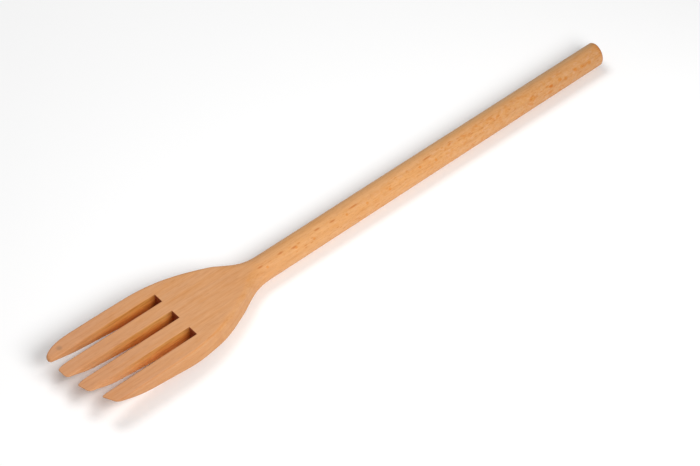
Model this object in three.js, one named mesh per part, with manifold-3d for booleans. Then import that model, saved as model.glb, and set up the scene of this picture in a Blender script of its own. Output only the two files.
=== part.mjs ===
// A four-tined wooden fork, cut and turned in one piece from a single length of beech.
//
// Millimetres, +Z up. +X runs along the fork from the tine tips to the end of the handle, +Y runs across
// the tines, and the origin is under the middle of the fork, on the surface that it lies on.
import * as THREE from "three";
import { mergeVertices } from "three/addons/utils/BufferGeometryUtils.js";
import Module from "manifold-3d";

// Driving dimensions.
const LENGTH = 300;
const HEAD_WIDTH = 41.4;
const THICKNESS = 12; // of the blank, from the flat upper face to the lowest line of the underside
const HANDLE_DIAMETER = 11.5; // at the neck
const HANDLE_END_DIAMETER = 11.2;
const SLOT_WIDTH = 4.8;
const SLOT_PITCH = 11.45;
const SLOT_LENGTH = 52.6;

// The underside is a wedge: thinnest at the tips, and run out into the handle's lowest line at the neck.
const WEDGE_TIP_THICKNESS = 3.1;
const WEDGE_SLOPE = 0.122;
const TIP_THINNING = 1.9; // taken off the wedge at the very tips, fading out over the length below
const TIP_THINNING_LENGTH = 12;

// The front edge was sanded by hand: straight across the +Y tines, and falling back towards -Y.
const FRONT_BEND_Y = 3.5; // where the edge starts to fall back
const FRONT_FALL = 7; // how far back it is at the -Y tine
const OUTER_CORNER_LENGTH = 13; // that each rounded outer corner takes off the side of its tine
const OUTER_CORNER_WIDTH = 2.7; // that the -Y one takes off the front of its tine

// Stations along X.
const TIP_X = -LENGTH / 2;
const END_X = LENGTH / 2;
const SLOT_END_X = TIP_X + SLOT_LENGTH;
const SLOT_MIDDLE_X = TIP_X + SLOT_LENGTH / 2;
const FLARE_START_X = TIP_X + 42.5; // the head is parallel-sided up to here
const FLARE_BEND_X = TIP_X + 71.2; // steers the curve where it leaves the head
const NECK_BEND_X = TIP_X + 83; // and where it runs into the handle
const NECK_X = TIP_X + 98.2; // the head has drawn in to the handle's diameter here
const WEDGE_FADE_X = TIP_X + 56;
const FLAT_START_X = TIP_X + 72; // the underside is flat from here to the handle
const ROUNDING_START_X = TIP_X + 78.3; // the flat bar turns into a round rod from here
const ROUNDING_END_X = TIP_X + 97;

// Eased edges.
const TOP_EDGE = 0.6;
const TOP_EDGE_AT_NECK = 1.9;
const UNDER_EDGE = 0.9;
const UNDER_EDGE_AT_NECK = 2.7;
const MOST_EDGE_SHARE = 0.45; // of the thickness, where the tips are thin
const END_EDGE = 1.4; // round the end of the handle
const END_SKEW = 1.2; // how far the end, which isn't cut quite square, falls back at its -Y side

const END_EDGE_START_X = END_X - END_EDGE;
const END_FACE_RADIUS = HANDLE_END_DIAMETER / 2 - END_EDGE;

// Facets.
const RING_SIDES = 32;
const CORNER_SIDES = RING_SIDES / 4 - 1;
const FLARE_STEPS = 20;
const END_STEPS = 6;
const FRONT_STEPS = 8;
const OVERSHOOT = 1; // how far a cutting solid passes the face that it cuts

const WOOD = { color: 0xd6a06c, roughness: 0.62, metalness: 0 };

const { clamp, lerp, smoothstep } = THREE.MathUtils;

function undersideAt(x) {
  const wedge = THICKNESS - WEDGE_TIP_THICKNESS - WEDGE_SLOPE * (x - TIP_X);
  const fade = 1 - smoothstep(x, WEDGE_FADE_X, FLAT_START_X);
  const nearTip = clamp(1 - (x - TIP_X) / TIP_THINNING_LENGTH, 0, 1);
  return Math.max(0, wedge) * fade + TIP_THINNING * nearTip ** 2;
}

// A point of the flat bar's section: a rectangle with rounded corners. Corners 0 to 3 run anticlockwise
// from +Y +Z, and turn runs from 0 to 1 along each corner's arc.
function barPoint({ x, halfWidth }, corner, turn) {
  const isUpper = corner < 2;
  const edge = isUpper
    ? lerp(TOP_EDGE, TOP_EDGE_AT_NECK, smoothstep(x, SLOT_MIDDLE_X, ROUNDING_START_X))
    : lerp(UNDER_EDGE, UNDER_EDGE_AT_NECK, smoothstep(x, FLARE_START_X, FLAT_START_X));
  const underside = undersideAt(x);
  const radius = Math.min(edge, MOST_EDGE_SHARE * (THICKNESS - underside));
  const y = (halfWidth - radius) * (corner % 3 === 0 ? 1 : -1);
  const z = isUpper ? THICKNESS - radius : underside + radius;
  const angle = (corner + turn) * (Math.PI / 2);
  return new THREE.Vector2(y + radius * Math.cos(angle), z + radius * Math.sin(angle));
}

// A point of the round rod's section, an ellipse while the shoulder is wider than the handle.
function rodPoint({ halfWidth }, side) {
  const angle = ((side + 0.5) / RING_SIDES) * 2 * Math.PI;
  const axisZ = HANDLE_DIAMETER / 2;
  const halfHeight = Math.min(halfWidth, axisZ);
  return new THREE.Vector2(halfWidth * Math.cos(angle), axisZ + halfHeight * Math.sin(angle));
}

function sectionPoint(station, side) {
  const rod = rodPoint(station, side);
  const rounding = smoothstep(station.x, ROUNDING_START_X, ROUNDING_END_X);
  if (rounding === 1) return rod;
  const corner = Math.floor(side / (CORNER_SIDES + 1));
  const turn = (side % (CORNER_SIDES + 1)) / CORNER_SIDES;
  return barPoint(station, corner, turn).lerp(rod, rounding);
}

// The parallel-sided tines, a little longer than the finished ones.
function tineStations() {
  const nearTip = [0, 1 / 8, 1 / 4, 5 / 12, 2 / 3, 1].map((share) => share * TIP_THINNING_LENGTH);
  const behind = [SLOT_LENGTH / 2, (SLOT_LENGTH * 2) / 3];
  const setbacks = [-OVERSHOOT, ...nearTip, ...behind];
  return setbacks.map((setback) => ({ x: TIP_X + setback, halfWidth: HEAD_WIDTH / 2 }));
}

// The shoulder, from the full width of the head to the handle.
function shoulderStations() {
  const outline = new THREE.CubicBezierCurve(
    new THREE.Vector2(FLARE_START_X, HEAD_WIDTH / 2),
    new THREE.Vector2(FLARE_BEND_X, HEAD_WIDTH / 2),
    new THREE.Vector2(NECK_BEND_X, HANDLE_DIAMETER / 2),
    new THREE.Vector2(NECK_X, HANDLE_DIAMETER / 2),
  );
  return outline.getPoints(FLARE_STEPS).map((point) => ({ x: point.x, halfWidth: point.y }));
}

// The handle, a slightly tapered rod with an eased end.
function handleStations() {
  const endRadius = HANDLE_END_DIAMETER / 2;
  const straight = { x: END_EDGE_START_X, halfWidth: endRadius };
  const rounded = Array.from({ length: END_STEPS }, (_, i) => {
    const angle = ((i + 1) / END_STEPS) * (Math.PI / 2);
    return {
      x: END_EDGE_START_X + END_EDGE * Math.sin(angle),
      halfWidth: endRadius - END_EDGE * (1 - Math.cos(angle)),
    };
  });
  return [straight, ...rounded];
}

// Where a point of the station at x lies along the fork, with the end of the handle out of square.
function skewedX(x, y) {
  const fallBack = (END_SKEW * (1 - y / END_FACE_RADIUS)) / 2;
  return x < END_EDGE_START_X ? x : x - fallBack;
}

// The blank before its tines are cut: a closed cylinder with a ring for each station, laid along X, and
// each ring drawn out to its section.
function blankGeometry() {
  const stations = [...tineStations(), ...shoulderStations(), ...handleStations()];
  const steps = stations.length - 1;
  const geometry = new THREE.CylinderGeometry(1, 1, steps, RING_SIDES, steps);
  const position = geometry.getAttribute("position");
  for (let i = 0; i < position.count; i++) {
    const ring = Math.round(steps / 2 - position.getY(i));
    const station = stations[ring];
    const isCentre = Math.hypot(position.getX(i), position.getZ(i)) < 0.5; // of a cap
    if (isCentre && ring === 0) {
      position.setXYZ(i, station.x, 0, (THICKNESS + undersideAt(station.x)) / 2);
    } else if (isCentre) {
      position.setXYZ(i, skewedX(station.x, 0), 0, HANDLE_DIAMETER / 2);
    } else {
      const angle = Math.atan2(position.getZ(i), position.getX(i));
      const side = Math.round((angle / (2 * Math.PI) + 1) * RING_SIDES) % RING_SIDES;
      const point = sectionPoint(station, side);
      position.setXYZ(i, skewedX(station.x, point.x), point.x, point.y);
    }
  }
  return geometry;
}

// What is taken off in front of the tips. The +Y tine's outer corner is one long curve that starts at its
// inner edge, and the -Y tine's is short.
function frontWasteGeometry() {
  const side = HEAD_WIDTH / 2;
  const clear = side + OVERSHOOT;
  const outerTineY = SLOT_PITCH + SLOT_WIDTH / 2;
  const cornerEndX = TIP_X + OUTER_CORNER_LENGTH;
  const cornerBendX = TIP_X + OUTER_CORNER_LENGTH / 6;
  const shape = new THREE.Shape();
  shape.moveTo(cornerEndX, clear);
  shape.bezierCurveTo(cornerBendX, side, TIP_X, (side + outerTineY) / 2, TIP_X, outerTineY);
  shape.lineTo(TIP_X, FRONT_BEND_Y);
  shape.quadraticCurveTo(TIP_X, 0, TIP_X + FRONT_FALL, OUTER_CORNER_WIDTH - side);
  shape.quadraticCurveTo(TIP_X + FRONT_FALL + 1, -side, cornerEndX, -clear);
  shape.lineTo(TIP_X - 2 * OVERSHOOT, -clear);
  shape.lineTo(TIP_X - 2 * OVERSHOOT, clear);
  return new THREE.ExtrudeGeometry(shape, {
    depth: THICKNESS + 2 * OVERSHOOT,
    bevelEnabled: false,
    curveSegments: FRONT_STEPS,
  }).translate(0, 0, -OVERSHOOT);
}

// A square-ended slot between two tines, open at the front.
function slotGeometry(y) {
  const length = SLOT_LENGTH + 2 * OVERSHOOT;
  return new THREE.BoxGeometry(length, SLOT_WIDTH, THICKNESS + 2 * OVERSHOOT).translate(
    SLOT_END_X - length / 2,
    y,
    THICKNESS / 2,
  );
}

const wasm = await Module();
wasm.setup();

function toSolid(geometry) {
  const bare = new THREE.BufferGeometry().setIndex(geometry.index);
  bare.setAttribute("position", geometry.getAttribute("position"));
  const merged = mergeVertices(bare);
  return new wasm.Manifold(
    new wasm.Mesh({
      numProp: 3,
      vertProperties: merged.attributes.position.array,
      triVerts: new Uint32Array(merged.index.array),
    }),
  );
}

function toGeometry(solid) {
  const mesh = solid.getMesh();
  const geometry = new THREE.BufferGeometry();
  geometry.setAttribute("position", new THREE.BufferAttribute(mesh.vertProperties, mesh.numProp));
  geometry.setIndex(new THREE.BufferAttribute(mesh.triVerts, 1));
  geometry.computeVertexNormals();
  return geometry;
}

function makeFork() {
  const cutters = [frontWasteGeometry(), ...[-SLOT_PITCH, 0, SLOT_PITCH].map(slotGeometry)];
  const blank = toSolid(blankGeometry());
  const solid = cutters.reduce((remaining, cutter) => remaining.subtract(toSolid(cutter)), blank);
  const mesh = new THREE.Mesh(toGeometry(solid), new THREE.MeshStandardMaterial(WOOD));
  mesh.name = "fork";
  return mesh;
}

const root = new THREE.Group();
root.add(makeFork());

export default root;
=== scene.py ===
"""The looks of a four-tined wooden fork, cut and turned in one piece from beech.

The fork is one mesh in the row frame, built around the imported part. Shapes are worked out in millimetres:
s runs back from the foremost tip along +X, y runs across the tines, and z is the height above the floor.
"""

import functools
import math

import bmesh
import bpy
import numpy as np
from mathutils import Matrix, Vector, noise


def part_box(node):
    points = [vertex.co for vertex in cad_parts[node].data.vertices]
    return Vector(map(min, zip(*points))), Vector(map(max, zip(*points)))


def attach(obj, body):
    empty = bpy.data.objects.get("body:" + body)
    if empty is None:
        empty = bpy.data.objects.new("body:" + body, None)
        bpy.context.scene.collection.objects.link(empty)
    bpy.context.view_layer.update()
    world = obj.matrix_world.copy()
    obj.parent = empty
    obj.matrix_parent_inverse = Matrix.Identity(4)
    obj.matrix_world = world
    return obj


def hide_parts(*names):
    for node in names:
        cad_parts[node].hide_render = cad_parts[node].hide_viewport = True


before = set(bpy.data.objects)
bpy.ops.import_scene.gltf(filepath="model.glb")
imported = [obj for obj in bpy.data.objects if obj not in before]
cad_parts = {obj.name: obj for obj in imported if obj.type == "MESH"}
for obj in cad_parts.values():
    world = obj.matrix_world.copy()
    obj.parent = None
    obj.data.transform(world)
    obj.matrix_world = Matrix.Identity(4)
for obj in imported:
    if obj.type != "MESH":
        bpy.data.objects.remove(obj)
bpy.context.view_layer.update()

MM = 0.001
LOWEST, HIGHEST = (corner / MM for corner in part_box("fork"))
LENGTH = HIGHEST.x - LOWEST.x
HALF_WIDTH = (HIGHEST.y - LOWEST.y) / 2
THICKNESS = HIGHEST.z - LOWEST.z

TINE_COUNT = 4

# Slots between the tines. Each tine's edge on the -Y side is worn rounder at the tip.
SLOT_WIDTH = 4.8
SLOT_PITCH = 11.45
SLOT_LENGTH = 52.6
SLOT_EDGE = 0.3
SLOT_EDGE_AT_TIP = 1.2
SLOT_EDGE_FADE = 16
SLOT_UNDER_EDGE = 0.5
SLOT_MIDDLES = np.array([-1, 0, 1]) * SLOT_PITCH

# Underside: a wedge that is thinnest at the tips and runs out level with the handle's lowest line.
WEDGE_TIP_THICKNESS = 3.1
WEDGE_SLOPE = 0.122
WEDGE_FADE = 56
FLAT_START = 72

# Shoulder and handle. The end's edge is rounded, and the end falls back at its -Y side.
FLARE_START = 42.5
FLARE_BEND = 71.2
NECK_BEND = 83
NECK = 98.2
ROUNDING_START = 78.3
ROUNDING_END = 97
HANDLE_RADIUS = 5.75
HANDLE_END_RADIUS = 5.6
END_EDGE = 1.4
END_SKEW = 1.2

# Eased edges.
TOP_EDGE = 0.6
TOP_EDGE_AT_NECK = 1.9
UNDER_EDGE = 0.9
UNDER_EDGE_AT_NECK = 2.7
MOST_EDGE_SHARE = 0.45

# Hand sanding: the most that it takes off, and the size of its hollows.
HAND_WORK = 0.05
HAND_WORK_SIZE = 11

# Mesh steps over the width of each part, and from row to row along it.
ARC_STEPS = 4
TINE_STEPS = 6
STEPS_OVER_TINE = 2 * ARC_STEPS + TINE_STEPS
SLOT_STEPS = 4
WALL_STEPS = 4
EDGE_SPAN = 1.3
TINE_ROWS = 23
ROW_CROWDING = 1.6
ROWS_BEHIND_SLOTS = [0.9, 1.6, 2.8]
BODY_STEP = 1.6
HANDLE_STEP = 2.5
END_FACE_RINGS = [0.85, 0.6, 0.3, 0.0]
SECTION_POINTS = 160
WELD_DISTANCE = 0.001
SHARP_ANGLE = 50
TINY = 1e-9


class Tine:
    """A tine's plan: its two sides, and its front edge with a rounded corner at each end.

    front_low and front_high are how far back the front edge is at the -Y and the +Y side. Each corner is
    (length along the side, width along the front) of the quarter ellipse that rounds it. thinning is the
    share of the thickness that is taken off at the front edge, fading out over thinning_length.
    """

    def __init__(self, number, front_low, front_high, corner_low, corner_high, thinning, thinning_length):
        self.number = number
        middle = ((TINE_COUNT - 1) / 2 - number) * SLOT_PITCH
        half = (SLOT_PITCH - SLOT_WIDTH) / 2
        self.is_first = number == 0
        self.is_last = number == TINE_COUNT - 1
        self.low_y = -HALF_WIDTH if self.is_last else middle - half
        self.high_y = HALF_WIDTH if self.is_first else middle + half
        self.front_low = front_low
        self.front_high = front_high
        self.corner_low = corner_low
        self.corner_high = corner_high
        self.thinning = thinning
        self.thinning_length = thinning_length

    def across(self, y):
        """0 at the -Y side of the tine and 1 at its +Y side."""
        return np.clip((y - self.low_y) / (self.high_y - self.low_y), 0, 1)


# From +Y to -Y. The front was sanded by hand, so each tip is a little different.
TINES = [
    Tine(0, 0.0, 0.0, (1.6, 1.4), (14.0, 5.4), 0.3, 13),
    Tine(1, 0.2, 0.0, (1.8, 1.8), (6.0, 1.4), 0.85, 13),
    Tine(2, 2.9, 1.0, (1.8, 1.6), (6.0, 1.3), 0.85, 13),
    Tine(3, 8.3, 4.9, (3.0, 1.6), (3.0, 0.8), 0.85, 16),
]


def smoothstep(value, start, end):
    t = np.clip((value - start) / (end - start), 0, 1)
    return t * t * (3 - 2 * t)


def lerp(a, b, t):
    return a + (b - a) * t


def shoulder_curve():
    """The outline of the shoulder as a Bezier curve, sampled as (s, half width)."""
    t = np.linspace(0, 1, SECTION_POINTS)[:, None]
    points = np.array([
        (FLARE_START, HALF_WIDTH),
        (FLARE_BEND, HALF_WIDTH),
        (NECK_BEND, HANDLE_RADIUS),
        (NECK, HANDLE_RADIUS),
    ])
    weights = [(1 - t) ** 3, 3 * t * (1 - t) ** 2, 3 * t**2 * (1 - t), t**3]
    return sum(weight * point for weight, point in zip(weights, points))


SHOULDER = shoulder_curve()


def handle_radius(s):
    return lerp(HANDLE_RADIUS, HANDLE_END_RADIUS, np.clip((s - NECK) / (LENGTH - NECK), 0, 1))


def half_width(s):
    head = np.interp(s, SHOULDER[:, 0], SHOULDER[:, 1])
    return np.where(s > NECK, handle_radius(s), head)


def upper_level(s):
    rounding = smoothstep(s, ROUNDING_START, ROUNDING_END)
    return lerp(THICKNESS, HANDLE_RADIUS + handle_radius(s), rounding)


def lower_level(s):
    wedge = THICKNESS - WEDGE_TIP_THICKNESS - WEDGE_SLOPE * s
    fade = 1 - smoothstep(s, WEDGE_FADE, FLAT_START)
    return np.maximum(0, wedge) * fade + HANDLE_RADIUS - handle_radius(s)


def outer_edge(s):
    eased = lerp(TOP_EDGE, TOP_EDGE_AT_NECK, smoothstep(s, SLOT_LENGTH / 2, ROUNDING_START))
    return lerp(eased, half_width(s), smoothstep(s, ROUNDING_START, ROUNDING_END))


def outer_under_edge(s):
    eased = lerp(UNDER_EDGE, UNDER_EDGE_AT_NECK, smoothstep(s, FLARE_START, FLAT_START))
    return lerp(eased, half_width(s), smoothstep(s, ROUNDING_START, ROUNDING_END))


def ease(distance, radius):
    """How far a rounded edge of that radius falls away at a distance in from the edge's line."""
    left = np.clip(radius - distance, 0, radius)
    return radius - np.sqrt(radius**2 - left**2)


def arc_offsets(radius):
    """Distances in from an edge's line that divide its rounding into equal angles."""
    angles = np.linspace(0, math.pi / 2, ARC_STEPS + 1)
    return radius * (1 - np.cos(angles))


def resample(line, shares):
    """Points at the given shares of a polyline's length."""
    steps = np.linalg.norm(np.diff(line, axis=0), axis=1)
    run = np.concatenate([[0], np.cumsum(steps)]) / steps.sum()
    return np.stack([np.interp(shares, run, line[:, k]) for k in range(line.shape[1])], axis=1)


def distance_to(points, line):
    """Distance of each point of an array (..., 2) to a polyline."""
    start, step = line[:-1], np.diff(line, axis=0)
    away = points[..., None, :] - start
    share = np.clip((away * step).sum(-1) / np.maximum((step**2).sum(-1), TINY), 0, 1)
    return np.linalg.norm(away - share[..., None] * step, axis=-1).min(-1)


def corner_arc(corner, along_front, size, start, end):
    """Part of the quarter ellipse that rounds a front corner, from start to end as shares of the way
    from the side to the front edge."""
    angles = np.linspace(start, end, 3 * ARC_STEPS)[:, None] * math.pi / 2
    length, width = size
    back = np.array([1.0, 0.0])
    return corner + length * (1 - np.sin(angles)) * back + width * (1 - np.cos(angles)) * along_front


def side_line(y, is_outer, start):
    s = np.linspace(start, SLOT_LENGTH, SECTION_POINTS)
    outline = np.sign(y) * half_width(s) if is_outer else np.full_like(s, y)
    return np.stack([s, outline], axis=1)


def tine_outline(tine):
    """The front edge from low to high, and the low and high sides from the front to the slots' ends."""
    low = np.array([tine.front_low, tine.low_y])
    high = np.array([tine.front_high, tine.high_y])
    across = (high - low) / np.linalg.norm(high - low)
    front = np.concatenate([
        corner_arc(low, across, tine.corner_low, 0.5, 1),
        corner_arc(high, -across, tine.corner_high, 1, 0.5),
    ])
    low_side = np.concatenate([
        corner_arc(low, across, tine.corner_low, 0.5, 0)[:-1],
        side_line(tine.low_y, tine.is_last, tine.front_low + tine.corner_low[0]),
    ])
    high_side = np.concatenate([
        corner_arc(high, -across, tine.corner_high, 0.5, 0)[:-1],
        side_line(tine.high_y, tine.is_first, tine.front_high + tine.corner_high[0]),
    ])
    return front, low_side, high_side


def coons_patch(front, back, low, high, u, v):
    """Fills the space between four border lines with a grid of points [v][u]."""
    u, v = u[None, :, None], v[:, None, None]
    lengthwise = (1 - v) * front[None] + v * back[None]
    crosswise = (1 - u) * low[:, None] + u * high[:, None]
    corners = (1 - u) * ((1 - v) * front[0] + v * back[0]) + u * ((1 - v) * front[-1] + v * back[-1])
    return lengthwise + crosswise - corners


def column_shares(tine, width, outer_radius):
    """Where the lengthwise lines of a tine run, as shares of its width: close at the rounded edges."""
    beside_slot = EDGE_SPAN * np.linspace(0, 1, ARC_STEPS + 1) ** 2
    low = (arc_offsets(outer_radius) if tine.is_last else beside_slot) / width
    high = 1 - (arc_offsets(outer_radius) if tine.is_first else beside_slot)[::-1] / width
    return np.concatenate([low, np.linspace(low[-1], high[0], TINE_STEPS + 1)[1:-1], high])


def row_shares():
    """Where the crosswise lines of a tine run, as shares of its length: close at the front."""
    near = arc_offsets(TOP_EDGE) / SLOT_LENGTH
    steps = np.linspace(0, 1, TINE_ROWS + 1)[1:]
    return np.concatenate([near, near[-1] + (1 - near[-1]) * steps**ROW_CROWDING])


def worn_slot_edge(edge, behind_front):
    """The rounding of a tine's -Y edge along a slot, which sanding has made softer at the tip."""
    return lerp(SLOT_EDGE_AT_TIP, edge, smoothstep(behind_front, 0, SLOT_EDGE_FADE))


def tine_face(tine, is_top):
    """One face of a tine as a grid of points (s, y, z)."""
    outer = outer_edge if is_top else outer_under_edge
    front, low_side, high_side = tine_outline(tine)
    width = high_side[-1, 1] - low_side[-1, 1]
    u = column_shares(tine, width, float(outer(SLOT_LENGTH)))
    v = row_shares()
    back = np.stack([np.full_like(u, SLOT_LENGTH), low_side[-1, 1] + u * width], axis=1)
    plan = coons_patch(
        resample(front, u), back, resample(low_side, v), resample(high_side, v), u, v
    )
    s, y = plan[..., 0], plan[..., 1]
    across = tine.across(y)
    behind_front = s - lerp(tine.front_low, tine.front_high, across)
    near_front = np.clip(1 - behind_front / tine.thinning_length, 0, 1)
    upper = upper_level(s)
    thickness = (upper - lower_level(s)) * (1 - tine.thinning * near_front**2)
    edge = SLOT_EDGE if is_top else SLOT_UNDER_EDGE
    low_radius = outer(s) if tine.is_last else worn_slot_edge(edge, behind_front)
    high_radius = outer(s) if tine.is_first else edge
    radius = np.minimum(lerp(low_radius, high_radius, across), MOST_EDGE_SHARE * thickness)
    outline = np.concatenate([low_side[::-1], front, high_side])
    fall = ease(distance_to(plan, outline), radius)
    z = upper - fall if is_top else upper - thickness + fall
    return np.stack([s, y, z], axis=-1)


def wall(upper_line, lower_line):
    """A grid between two lines of points, such as a tine's upper and lower edge."""
    share = np.linspace(0, 1, WALL_STEPS + 1)[:, None, None]
    return lerp(upper_line[None], lower_line[None], share)


def tine_patches(tine, upper, lower):
    """The grids of one tine. upper and lower are the head's lines at the slots' ends, which it joins."""
    top, bottom = tine_face(tine, True), tine_face(tine, False)
    first = tine.number * (STEPS_OVER_TINE + SLOT_STEPS)
    span = slice(first, first + STEPS_OVER_TINE + 1)
    top[-1], bottom[-1] = upper[span][::-1], lower[span][::-1]
    return [
        top,
        bottom,
        wall(top[0], bottom[0]),
        wall(top[:, 0], bottom[:, 0]),
        wall(top[:, -1], bottom[:, -1]),
    ]


def section_curve(s):
    """The fork's section at s, a rectangle with rounded corners, as a dense closed line of (y, z). It starts
    at the top of the +Y side wall and runs over the top. Also gives half its width, its upper and lower
    corner radius and the height of its side walls."""
    side = float(half_width(s))
    upper, lower = float(upper_level(s)), float(lower_level(s))
    half_height = (upper - lower) / 2
    top_radius = min(float(outer_edge(s)), side, half_height)
    under_radius = min(float(outer_under_edge(s)), side, half_height)
    angles = np.linspace(0, math.pi / 2, SECTION_POINTS)

    def arc(y, z, radius, turn):
        return np.stack([
            y + radius * np.cos(angles + turn * math.pi / 2),
            z + radius * np.sin(angles + turn * math.pi / 2),
        ], axis=1)

    line = np.concatenate([
        arc(side - top_radius, upper - top_radius, top_radius, 0),
        arc(top_radius - side, upper - top_radius, top_radius, 1),
        arc(under_radius - side, lower + under_radius, under_radius, 2),
        arc(side - under_radius, lower + under_radius, under_radius, 3),
        [(side, upper - top_radius)],
    ])
    return line, side, top_radius, under_radius, upper - lower - top_radius - under_radius


def head_columns(is_top):
    """The y of each lengthwise line over the head at the slots' ends, from +Y to -Y."""
    y = []
    for tine in TINES:
        line = tine_face(tine, is_top)[-1, ::-1, 1]
        if y:
            y.extend(np.linspace(y[-1], line[0], SLOT_STEPS + 1)[1:-1])
        y.extend(line)
    return np.array(y)


def ring_shares(s, measures, top_y, bottom_y):
    """How far round the section each lengthwise line runs, as a share. The lines carry on from the head's
    columns near the slots, and spread out evenly towards the handle."""
    side, top_radius, under_radius, wall_height = measures
    over = face_runs(top_y, side, top_radius)
    under = face_runs(bottom_y, side, under_radius)
    sides = np.linspace(0, wall_height, WALL_STEPS + 1)
    runs = np.concatenate([
        over[:-1],
        over[-1] + sides[:-1],
        over[-1] + wall_height + under[:-1],
        over[-1] + wall_height + under[-1] + sides[:-1],
    ])
    around = over[-1] + under[-1] + 2 * wall_height
    even = (np.arange(len(runs)) + WALL_STEPS / 2) * around / len(runs)
    spread = smoothstep(s, SLOT_LENGTH + SLOT_WIDTH, ROUNDING_END - BODY_STEP)
    return lerp(runs, even, spread) / around % 1.0


def body_rings():
    """Rings of points from the slots' ends to the handle's end, and the number of steps over each face."""
    top_y, bottom_y = head_columns(True), head_columns(False)
    steps_over = len(top_y) - 1
    rings = []
    for s in body_stations():
        line, *measures = section_curve(s)
        yz = resample(line, ring_shares(s, measures, top_y, bottom_y))
        z = yz[:, 1] + slot_end_fall(s, yz[:, 0], steps_over)
        rings.append(np.column_stack([np.full(len(yz), s), yz[:, 0], z]))
    return np.array(rings), steps_over


def face_runs(y, side, radius):
    """How far along the section each column of a face lies, measured from the edge where it starts."""
    arc_run = radius * np.linspace(0, math.pi / 2, ARC_STEPS + 1)
    flat = (y[ARC_STEPS] - y[ARC_STEPS:-ARC_STEPS]) / (y[ARC_STEPS] - y[-ARC_STEPS - 1])
    flat_run = arc_run[-1] + flat * 2 * (side - radius)
    return np.concatenate([arc_run[:-1], flat_run, flat_run[-1] + arc_run[1:]])


def slot_end_fall(s, y, steps_over):
    """How the section's points give way at the eased edges round the slots' ends."""
    from_slots = np.abs(SLOT_MIDDLES[:, None] - y[None])
    beside = np.maximum(0, from_slots.min(axis=0) - SLOT_WIDTH / 2)
    distance = np.hypot(beside, s - SLOT_LENGTH)
    index = np.arange(len(y))
    is_over = index <= steps_over
    is_under = (index >= steps_over + WALL_STEPS) & (index <= 2 * steps_over + WALL_STEPS)
    return is_under * ease(distance, SLOT_UNDER_EDGE) - is_over * ease(distance, SLOT_EDGE)


def body_stations():
    """Where the rings stand: close together behind the slots, and further apart along the handle."""
    near_slots = SLOT_LENGTH + np.concatenate([arc_offsets(SLOT_UNDER_EDGE), ROWS_BEHIND_SLOTS])
    body = np.arange(near_slots[-1] + BODY_STEP, NECK, BODY_STEP)
    end = LENGTH - END_EDGE
    handle = np.linspace(NECK, end, int((end - NECK) / HANDLE_STEP))
    return np.concatenate([near_slots, body, handle])


def end_rings(last_ring):
    """The eased end of the handle, drawn in from the last ring to the middle of its flat face."""
    axis = np.array([0, HANDLE_RADIUS])
    radius = float(handle_radius(LENGTH))
    angles = np.linspace(0, math.pi / 2, 2 * ARC_STEPS + 1)[1:]
    eased = [(END_EDGE * math.sin(a), radius - END_EDGE * (1 - math.cos(a))) for a in angles]
    face = [(END_EDGE, share * (radius - END_EDGE)) for share in END_FACE_RINGS]
    start = last_ring[0, 0]
    shape = (last_ring[:, 1:] - axis) / radius
    rings = []
    for forward, size in eased + face:
        rings.append(np.column_stack([np.full(len(shape), start + forward), axis + shape * size]))
    return rings


def skew_end(ring):
    """The handle's end isn't cut quite square, and falls back towards -Y."""
    near_end = np.clip((ring[:, 0] - (LENGTH - HANDLE_STEP - END_EDGE)) / HANDLE_STEP, 0, 1)
    face_radius = HANDLE_END_RADIUS - END_EDGE
    fall_back = near_end * END_SKEW * (1 - ring[:, 1] / face_radius) / 2
    return ring - fall_back[:, None] * np.array([1.0, 0.0, 0.0])


def slot_end_walls(upper, lower):
    """The closed ends of the three slots, between the head's upper and lower lines there."""
    starts = [STEPS_OVER_TINE + slot * (STEPS_OVER_TINE + SLOT_STEPS) for slot in range(TINE_COUNT - 1)]
    spans = [slice(start, start + SLOT_STEPS + 1) for start in starts]
    return [wall(upper[span], lower[span]) for span in spans]


def fork_patches():
    """The whole surface as grids of points, whose borders meet."""
    rings, steps_over = body_rings()
    upper = rings[0][: steps_over + 1]
    lower = rings[0][steps_over + WALL_STEPS : 2 * steps_over + WALL_STEPS + 1][::-1]
    patches = [patch for tine in TINES for patch in tine_patches(tine, upper, lower)]
    patches.extend(slot_end_walls(upper, lower))
    closed = np.array([skew_end(ring) for ring in [*rings, *end_rings(rings[-1])]])
    patches.append(np.concatenate([closed, closed[:, :1]], axis=1))
    return patches


def add_patch(mesh, patch):
    rows, columns = patch.shape[:2]
    origin = np.array([LOWEST.x, 0, LOWEST.z])
    vertices = [[mesh.verts.new(MM * (point + origin)) for point in row] for row in patch]
    for i in range(rows - 1):
        for j in range(columns - 1):
            mesh.faces.new((vertices[i][j], vertices[i][j + 1], vertices[i + 1][j + 1], vertices[i + 1][j]))


def sand_by_hand(mesh):
    """Takes a little off the whole surface, here more and there less, as sanding by hand does."""
    mesh.normal_update()
    moves = []
    for vertex in mesh.verts:
        place = vertex.co / (HAND_WORK_SIZE * MM)
        depth = HAND_WORK * MM * max(0.0, 0.5 + 0.5 * noise.noise(place))
        moves.append(-depth * vertex.normal)
    for vertex, move in zip(mesh.verts, moves):
        vertex.co += move


def make_fork():
    mesh = bmesh.new()
    for patch in fork_patches():
        add_patch(mesh, patch)
    bmesh.ops.remove_doubles(mesh, verts=mesh.verts, dist=WELD_DISTANCE * MM)
    bmesh.ops.recalc_face_normals(mesh, faces=mesh.faces)
    if mesh.calc_volume(signed=True) < 0:
        bmesh.ops.reverse_faces(mesh, faces=mesh.faces)
    sand_by_hand(mesh)
    data = bpy.data.meshes.new("fork_surface")
    mesh.to_mesh(data)
    mesh.free()
    data.shade_smooth()
    data.set_sharp_from_angle(angle=math.radians(SHARP_ANGLE))
    fork = bpy.data.objects.new("fork_surface", data)
    bpy.context.scene.collection.objects.link(fork)
    return fork


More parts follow.
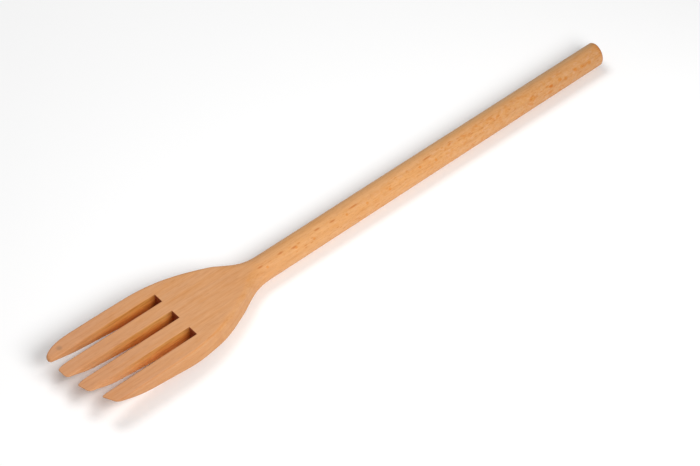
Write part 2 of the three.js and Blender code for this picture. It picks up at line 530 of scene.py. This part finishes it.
class Nodes:
    """Adds nodes to a material. Inputs are numbers, tuples or the outputs of other nodes."""

    def __init__(self, tree):
        self.tree = tree

    def add(self, kind, inputs, output=0, **settings):
        node = self.tree.nodes.new(kind)
        for name, value in settings.items():
            setattr(node, name, value)
        for key, value in inputs.items():
            if isinstance(value, bpy.types.NodeSocket):
                self.tree.links.new(value, node.inputs[key])
            else:
                node.inputs[key].default_value = value
        return node.outputs[output]

    def math(self, operation, *values):
        return self.add("ShaderNodeMath", dict(enumerate(values)), operation=operation)

    def both(self, *masks):
        """Where all the masks are 1."""
        return functools.reduce(lambda a, b: self.math("MULTIPLY", a, b), masks)

    def vector(self, operation, a, b):
        return self.add("ShaderNodeVectorMath", {0: a, 1: b}, operation=operation)

    def ramp(self, value, start, end):
        """0 up to start and 1 from end on, with a smooth rise between them."""
        inputs = {"Value": value, "From Min": start, "From Max": end}
        return self.add("ShaderNodeMapRange", inputs, interpolation_type="SMOOTHSTEP")

    def noise(self, place, size, detail=2.0, output="Fac"):
        """Cloudy noise about 0.5. size is how long, wide and high its clouds are."""
        inputs = {"Vector": self.vector("DIVIDE", place, size), "Scale": 1.0, "Detail": detail}
        return self.add("ShaderNodeTexNoise", inputs, output)

    def bend(self, place, size, reach):
        """The place, moved this way and that by up to about half of reach."""
        moves = self.vector("MULTIPLY", self.noise(place, size, output="Color"), reach)
        return self.vector("ADD", place, moves)

    def flecks(self, place, spacing, reach):
        """1 in the middle of scattered flecks that are as drawn out as their spacing, and 0 between them."""
        inputs = {"Vector": self.vector("DIVIDE", place, spacing), "Scale": 1.0}
        return self.ramp(self.add("ShaderNodeTexVoronoi", inputs, "Distance"), reach, reach / 3)

    def tint(self, colour, amount, tint):
        """The colour, multiplied by the tint where amount is 1."""
        inputs = {0: amount, 6: colour, 7: (*tint, 1)}
        return self.add("ShaderNodeMix", inputs, 2, data_type="RGBA", blend_type="MULTIPLY")


class Grain:
    """Where each point of the wood is, in millimetres from the foremost tip, and which way it faces."""

    def __init__(self, nodes):
        place = nodes.add("ShaderNodeTexCoord", {}, "Object")
        place = nodes.vector("DIVIDE", place, (MM, MM, MM))
        self.place = nodes.vector("SUBTRACT", place, (LOWEST.x, 0, LOWEST.z))
        self.s, self.y, self.z = self.parts(nodes, self.place)
        self.forward, self.left, self.up = self.parts(nodes, nodes.add("ShaderNodeNewGeometry", {}, "Normal"))
        self.sideways = nodes.math("ABSOLUTE", self.left)

    @staticmethod
    def parts(nodes, vector):
        return [nodes.add("ShaderNodeSeparateXYZ", {0: vector}, part) for part in "XYZ"]


# Plain wood. The head is redder than the handle, and the tines are redder still.
BEECH = (0.633, 0.311, 0.111)
RED_HEAD = (0.95, 0.91, 0.965)
RED_TINES = (0.945, 0.9, 0.94)
PALE_STREAK = (1.0, 1.03, 1.12)
DARK_STREAK = (0.99, 0.95, 0.84)

# Growth rings: how far they wander, how far apart they are, and how strong the dark late wood is.
WARP = 3.0
RING_SPACING = 2.7
LATE_WOOD = (0.93, 0.84, 0.7)
LATE_WOOD_SHARE = 0.35

# Mottling, streaks and fibres: their size, and the tints of the lighter and the darker ones.
GROWTH = [
    ((6, 2.8, 2.8), (1.02, 1.05, 1.12), (0.98, 0.93, 0.8)),
    ((11, 1.0, 1.0), (1.05, 1.07, 1.1), (0.93, 0.88, 0.8)),
    ((4, 0.45, 0.45), (1.07, 1.08, 1.1), (0.9, 0.86, 0.8)),
]


def add_growth(nodes, grain, colour):
    """Broad streaks, growth rings that stand upright in the wood, and fine fibres."""
    colour = nodes.tint(colour, nodes.ramp(grain.s, 115, 80), RED_HEAD)
    colour = nodes.tint(colour, nodes.ramp(grain.s, 65, 12), RED_TINES)
    broad = nodes.noise(grain.place, (70, 4, 4))
    colour = nodes.tint(colour, nodes.ramp(broad, 0.45, 0.7), PALE_STREAK)
    colour = nodes.tint(colour, nodes.ramp(broad, 0.5, 0.28), DARK_STREAK)
    warp = nodes.math("MULTIPLY", nodes.noise(grain.place, (90, 14, 14)), WARP)
    ring = nodes.math("FRACT", nodes.math("DIVIDE", nodes.math("ADD", grain.y, warp), RING_SPACING))
    late_wood = nodes.both(nodes.ramp(ring, 0.5, 0.9), nodes.ramp(ring, 1.0, 0.93))
    colour = nodes.tint(colour, nodes.math("MULTIPLY", late_wood, LATE_WOOD_SHARE), LATE_WOOD)
    for size, lighter, darker in GROWTH:
        cloud = nodes.noise(grain.place, size, 3.0)
        colour = nodes.tint(colour, nodes.ramp(cloud, 0.52, 0.78), lighter)
        colour = nodes.tint(colour, nodes.ramp(cloud, 0.5, 0.22), darker)
    return colour


# The ends of the wood's rays, and its pores.
RAY_DASH = (0.88, 0.7, 0.45)
RAY_SPOT = (0.94, 0.74, 0.42)
DARK_MOTTLE = (0.97, 0.87, 0.68)
PALE_MOTTLE = (1.03, 1.1, 1.45)
PORE = (0.9, 0.88, 0.82)
HEAD_SHARE = 0.25


def add_flecks(nodes, grain, colour):
    """Short dashes on the faces that look towards -Y, rounder spots and mottling towards the end of the
    handle, and faint pores. On the head there is only a hint of the dashes and pores."""
    sideways = nodes.ramp(grain.left, 0.1, -0.35)
    beyond_head = nodes.math("MULTIPLY", nodes.ramp(grain.s, 85, 110), 1 - HEAD_SHARE)
    on_handle = nodes.math("ADD", beyond_head, HEAD_SHARE)
    patches = nodes.ramp(nodes.noise(grain.place, (14, 5, 5)), 0.38, 0.6)
    dashes = nodes.flecks(grain.place, (3.4, 1.0, 1.0), 0.36)
    colour = nodes.tint(colour, nodes.both(dashes, sideways, patches, on_handle), RAY_DASH)
    towards_end = nodes.both(nodes.ramp(grain.s, 140, 270), sideways)
    bent = nodes.bend(grain.place, (4, 2.5, 2.5), (5, 4, 4))
    gathered = nodes.ramp(nodes.noise(grain.place, (10, 4, 4)), 0.42, 0.56)
    rounds = nodes.both(nodes.flecks(bent, (3.8, 2.6, 2.6), 0.46), towards_end, gathered)
    colour = nodes.tint(colour, rounds, RAY_SPOT)
    mottling = nodes.noise(bent, (2.6, 1.2, 1.2), 1.0)
    mottled = nodes.both(nodes.ramp(grain.s, 60, 250), sideways)
    darker = nodes.both(nodes.ramp(mottling, 0.48, 0.3), mottled)
    colour = nodes.tint(colour, darker, DARK_MOTTLE)
    pale = nodes.both(nodes.ramp(mottling, 0.54, 0.72), mottled)
    colour = nodes.tint(colour, pale, PALE_MOTTLE)
    pores = nodes.flecks(grain.place, (1.9, 0.6, 0.6), 0.3)
    return nodes.tint(colour, nodes.both(pores, on_handle), PORE)


def handle_place(s, angle):
    """A place on the handle. The angle runs up from the side that looks towards -Y."""
    angle = math.radians(angle)
    radius = float(handle_radius(s))
    return s, -radius * math.cos(angle), HANDLE_RADIUS + radius * math.sin(angle)


# Tints of the marks.
DASH = (0.82, 0.6, 0.38)
DOT = (0.97, 0.76, 0.36)
PALE = (1.05, 1.25, 1.7)

# The marks that stand out on the handle come in runs along it. Each run says where it starts, how far apart
# its marks are and how many it has, how high up the side it lies, and its marks' length, width and tint.
MARK_RUNS = [
    (95, 10, 5, 64, 1.8, 0.45, DASH),
    (98, 14, 8, 48, 0.8, 0.7, DOT),
    (147, 38, 2, 68, 3.0, 0.45, DASH),
    (265, 5, 6, 40, 1.3, 1.0, DOT),
]

# The marks of a run wander by up to MARK_WANDER degrees round the handle and WANDER_SHARE of their spacing.
GOLDEN_ANGLE = 2.4
MARK_WANDER = 6
WANDER_SHARE = 0.2

# A spot with a pale middle: its place, and the length and width of each.
SPOT_PLACE = handle_place(253, 37)
SPOT_SIZE = (2.3, 1.5)
SPOT_MIDDLE_SIZE = (1.0, 0.7)

# The pin knot near the tip of the longest tine.
KNOT_PLACE = (6.8, 16.6, THICKNESS)
KNOT_SIZE = 1.4
KNOT = (0.74, 0.78, 0.82)


def add_mark(nodes, grain, colour, place, length, width, tint):
    """One soft-edged oval mark."""
    away = nodes.vector("SUBTRACT", grain.place, place)
    away = nodes.vector("DIVIDE", away, (length, width, width))
    distance = nodes.add("ShaderNodeVectorMath", {0: away}, "Value", operation="LENGTH")
    return nodes.tint(colour, nodes.ramp(distance, 1.2, 0.4), tint)


def add_marks(nodes, grain, colour):
    """The runs of marks, which wander a little, a spot with a pale middle, and the pin knot."""
    for start, spacing, count, height, length, width, tint in MARK_RUNS:
        for number in range(count):
            wander = math.sin(GOLDEN_ANGLE * number)
            along = start + spacing * (number + WANDER_SHARE * wander)
            place = handle_place(along, height + MARK_WANDER * wander)
            colour = add_mark(nodes, grain, colour, place, length, width, tint)
    colour = add_mark(nodes, grain, colour, SPOT_PLACE, *SPOT_SIZE, DOT)
    colour = add_mark(nodes, grain, colour, SPOT_PLACE, *SPOT_MIDDLE_SIZE, PALE)
    return add_mark(nodes, grain, colour, KNOT_PLACE, KNOT_SIZE, KNOT_SIZE, KNOT)


# The slots' sawn walls, which lie within SLOT_WALLS of the middle, and the end of the handle. The walls carry
# painted light: lighter near the tips, orange bounce light, and painted shade deep down, towards the closed
# ends and on the end walls. The rim of the handle's end carries painted shade.
SLOT_WALLS = 16
WALL_LIGHT_AT_TIP = (1.13, 1.2, 1.32)
SAWN_WALL_AND_BOUNCE_LIGHT = (1.12, 1.13, 0.78)
SHADE_DEEP_IN_SLOT = (1.25, 0.95, 0.6)
TORN_FIBRES = (0.82, 0.72, 0.55)
CLOSED_END_SHADE = (0.66, 0.5, 0.38)
CLOSED_END_SHADE_LENGTH = 4.1
END_WALL_SHADE = (0.56, 0.25, 0.15)
HANDLE_TIP = (0.98, 0.88, 0.7)
END_GRAIN = (0.93, 0.81, 0.62)
END_RIM_SHADE = (0.92, 0.8, 0.7)


def add_cuts(nodes, grain, colour):
    """The sawn walls of the slots, with painted light: lighter near the tips, orange bounce light, and
    painted shade deep down, towards their closed ends and on the end walls.
    """
    depth = nodes.math("SUBTRACT", THICKNESS, grain.z)
    in_slots = nodes.ramp(nodes.math("ABSOLUTE", grain.y), SLOT_WALLS + 1, SLOT_WALLS)
    before_end = nodes.ramp(grain.s, SLOT_LENGTH + 0.4, SLOT_LENGTH + 0.1)
    wall = nodes.both(nodes.ramp(grain.sideways, 0.6, 0.9), in_slots, before_end)
    # Painted light: the slot walls are made lighter near the tips.
    colour = nodes.tint(colour, nodes.both(wall, nodes.ramp(grain.s, 36, 18)), WALL_LIGHT_AT_TIP)
    wall = nodes.both(wall, nodes.ramp(grain.s, 10, 36))
    # The sawn walls' own tone, with painted orange bounce light from the wood round them.
    colour = nodes.tint(colour, wall, SAWN_WALL_AND_BOUNCE_LIGHT)
    # Painted shade: the walls grow darker and redder deep down in the slots.
    colour = nodes.tint(colour, nodes.both(wall, nodes.ramp(depth, 0.8, 5.5)), SHADE_DEEP_IN_SLOT)
    torn = nodes.noise(grain.place, (10, 0.8, 0.8), 4.0)
    colour = nodes.tint(colour, nodes.both(wall, nodes.ramp(torn, 0.52, 0.35)), TORN_FIBRES)
    # Painted shade: the walls grow darker over the last few millimetres before the slots' closed ends.
    closed_end_shade = nodes.both(wall, nodes.ramp(grain.s, SLOT_LENGTH - CLOSED_END_SHADE_LENGTH, SLOT_LENGTH))
    colour = nodes.tint(colour, closed_end_shade, CLOSED_END_SHADE)
    # Painted shade on the slots' end walls, which face away from the light.
    end = nodes.both(nodes.ramp(grain.forward, -0.5, -0.9), nodes.ramp(grain.s, 50, 51))
    return nodes.tint(colour, end, END_WALL_SHADE)


def add_end_grain(nodes, grain, colour):
    """The end of the handle, which is darker where the wood is cut across, with painted shade on its rounded
    rim.
    """
    colour = nodes.tint(colour, nodes.ramp(grain.s, LENGTH - 4.5, LENGTH - 2), HANDLE_TIP)
    near_end = nodes.ramp(grain.s, LENGTH - 5, LENGTH - 4)
    turned_in = nodes.both(nodes.ramp(grain.forward, 0.15, 0.45), near_end)
    colour = nodes.tint(colour, turned_in, END_GRAIN)
    # Painted shade on the rounded rim of the handle's end.
    rounding = nodes.both(turned_in, nodes.ramp(grain.forward, 0.9, 0.6))
    return nodes.tint(colour, rounding, END_RIM_SHADE)


# Wear from use and sanding, with painted shade on the head's outer edges and its faces that look towards -Y,
# and a painted sheen on the handle's +Y side.
EDGE_SHADE_AND_WEAR = (1.0, 0.9, 0.74)
SANDING_LINES = (0.96, 0.91, 0.82)
SHOULDER_SIDE_SHADE = (0.95, 0.97, 0.96)
PALE_EDGE = (1.05, 1.08, 1.12)
HANDLED_END = (0.87, 0.865, 0.87)
PALE_TONE_AND_SHEEN = (0.94, 1.05, 1.22)


def add_wear(nodes, grain, colour):
    """The head's outer edges are darker, with painted shade and some wear, and its faces that look towards -Y
    carry painted shade. The end of the handle is darker. The edges beside the slots are paler, and the
    handle's +Y side is less orange, partly its own tone and partly a painted sheen."""
    near_top = nodes.ramp(grain.z, THICKNESS - 1.5, THICKNESS - 0.8)
    edge = nodes.both(nodes.ramp(grain.up, 0.99, 0.9), nodes.ramp(grain.up, 0.55, 0.75), near_top)
    outer = nodes.ramp(nodes.math("ABSOLUTE", grain.y), 15.5, 17)
    # Painted shade with some wear: the head's rounded outer edges are darker.
    colour = nodes.tint(colour, nodes.both(edge, outer, nodes.ramp(grain.s, 92, 80)), EDGE_SHADE_AND_WEAR)
    sanding = nodes.noise(grain.place, (60, 60, 0.9), 2.0)
    side = nodes.both(nodes.ramp(grain.left, -0.2, -0.5), nodes.ramp(grain.s, 96, 84))
    colour = nodes.tint(colour, nodes.both(side, nodes.ramp(sanding, 0.52, 0.38)), SANDING_LINES)
    # Painted shade: the shoulder's faces that look towards -Y are made darker.
    colour = nodes.tint(colour, side, SHOULDER_SIDE_SHADE)
    beside_slot = nodes.both(nodes.ramp(grain.s, 18, 30), nodes.ramp(grain.s, 54, 53))
    colour = nodes.tint(colour, nodes.both(edge, beside_slot), PALE_EDGE)
    colour = nodes.tint(colour, nodes.ramp(grain.s, 170, LENGTH), HANDLED_END)
    # The handle's +Y side is paler and bluer, partly its own tone and partly a painted sheen.
    pale_tone_and_sheen = nodes.both(nodes.ramp(grain.left, -0.1, 0.5), nodes.ramp(grain.s, 90, 280))
    return nodes.tint(colour, pale_tone_and_sheen, PALE_TONE_AND_SHEEN)


# The surface: the size and height of its fibres, and how dull it is.
FIBRE_SIZE = (7, 0.35, 0.35)
FIBRE_HEIGHT = 0.12
FIBRE_STRENGTH = 0.6
ROUGHNESS = 0.46
ROUGHNESS_OF_FIBRES = 0.2


def make_material():
    material = bpy.data.materials.new("beech")
    material.use_nodes = True
    nodes = Nodes(material.node_tree)
    grain = Grain(nodes)
    colour = (*BEECH, 1)
    for add in (add_growth, add_flecks, add_marks, add_cuts, add_end_grain, add_wear):
        colour = add(nodes, grain, colour)
    fibres = nodes.noise(grain.place, FIBRE_SIZE, 4.0)
    roughness = nodes.math("ADD", nodes.math("MULTIPLY", fibres, ROUGHNESS_OF_FIBRES), ROUGHNESS)
    bump_inputs = {"Height": fibres, "Distance": FIBRE_HEIGHT * MM, "Strength": FIBRE_STRENGTH}
    bump = nodes.add("ShaderNodeBump", bump_inputs, "Normal")
    shader = material.node_tree.nodes["Principled BSDF"]
    material.node_tree.links.new(colour, shader.inputs["Base Color"])
    material.node_tree.links.new(roughness, shader.inputs["Roughness"])
    material.node_tree.links.new(bump, shader.inputs["Normal"])
    return material


# The camera: where it stands, in degrees and metres from its target, and its lens.
CAMERA_AZIMUTH = -41.36
CAMERA_ELEVATION = 47.654
CAMERA_TARGET = (-11.19, -9.28, 5.88)
CAMERA_DISTANCE = 0.83
LENS = 100.39
SENSOR_WIDTH = 36


def make_camera():
    azimuth, elevation = math.radians(CAMERA_AZIMUTH), math.radians(CAMERA_ELEVATION)
    target = Vector(CAMERA_TARGET) * MM
    back = Vector((
        math.sin(azimuth) * math.cos(elevation),
        -math.cos(azimuth) * math.cos(elevation),
        math.sin(elevation),
    ))
    data = bpy.data.cameras.new("camera")
    data.lens = LENS
    data.sensor_width = SENSOR_WIDTH
    data.sensor_fit = "HORIZONTAL"
    camera = bpy.data.objects.new("camera", data)
    camera.location = target + CAMERA_DISTANCE * back
    camera.rotation_mode = "QUATERNION"
    camera.rotation_quaternion = (-back).to_track_quat("-Z", "Y")
    bpy.context.scene.collection.objects.link(camera)
    bpy.context.scene.camera = camera


def make_light(name, size, power, place):
    """A round soft light that looks at the origin. Its size and place are in metres."""
    data = bpy.data.lights.new(name, "AREA")
    data.shape = "DISK"
    data.size = size
    data.energy = power
    light = bpy.data.objects.new(name, data)
    light.location = place
    light.rotation_mode = "QUATERNION"
    light.rotation_quaternion = (-Vector(place)).to_track_quat("-Z", "Y")
    bpy.context.scene.collection.objects.link(light)


FLOOR_REACH = 4
FLOOR_COLOUR = (0.97, 0.97, 0.97, 1)
FLOOR_ROUGHNESS = 0.9
WORLD_LIGHT = 0.25


def make_floor():
    """A plain pale floor, which reaches FLOOR_REACH metres to each side."""
    mesh = bmesh.new()
    bmesh.ops.create_grid(mesh, x_segments=1, y_segments=1, size=FLOOR_REACH)
    data = bpy.data.meshes.new("floor")
    mesh.to_mesh(data)
    mesh.free()
    material = bpy.data.materials.new("pale_floor")
    material.use_nodes = True
    shader = material.node_tree.nodes["Principled BSDF"]
    shader.inputs["Base Color"].default_value = FLOOR_COLOUR
    shader.inputs["Roughness"].default_value = FLOOR_ROUGHNESS
    shader.inputs["Specular IOR Level"].default_value = 0
    data.materials.append(material)
    floor = bpy.data.objects.new("floor", data)
    floor.location = (0, 0, LOWEST.z * MM)
    bpy.context.scene.collection.objects.link(floor)
    return floor


def make_world():
    world = bpy.data.worlds.new("studio")
    world.use_nodes = True
    background = world.node_tree.nodes["Background"]
    background.inputs["Color"].default_value = (1, 1, 1, 1)
    background.inputs["Strength"].default_value = WORLD_LIGHT
    bpy.context.scene.world = world


bpy.context.scene.view_settings.view_transform = "Standard"
make_camera()
make_world()
make_light("key", size=0.35, power=3.17, place=(-0.05, -0.45, 0.40))
make_light("fill", size=0.4, power=2.4, place=(0, 0.35, 0.7))
floor = make_floor()

fork = make_fork()
fork.data.materials.append(make_material())
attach(fork, "root")
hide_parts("fork")
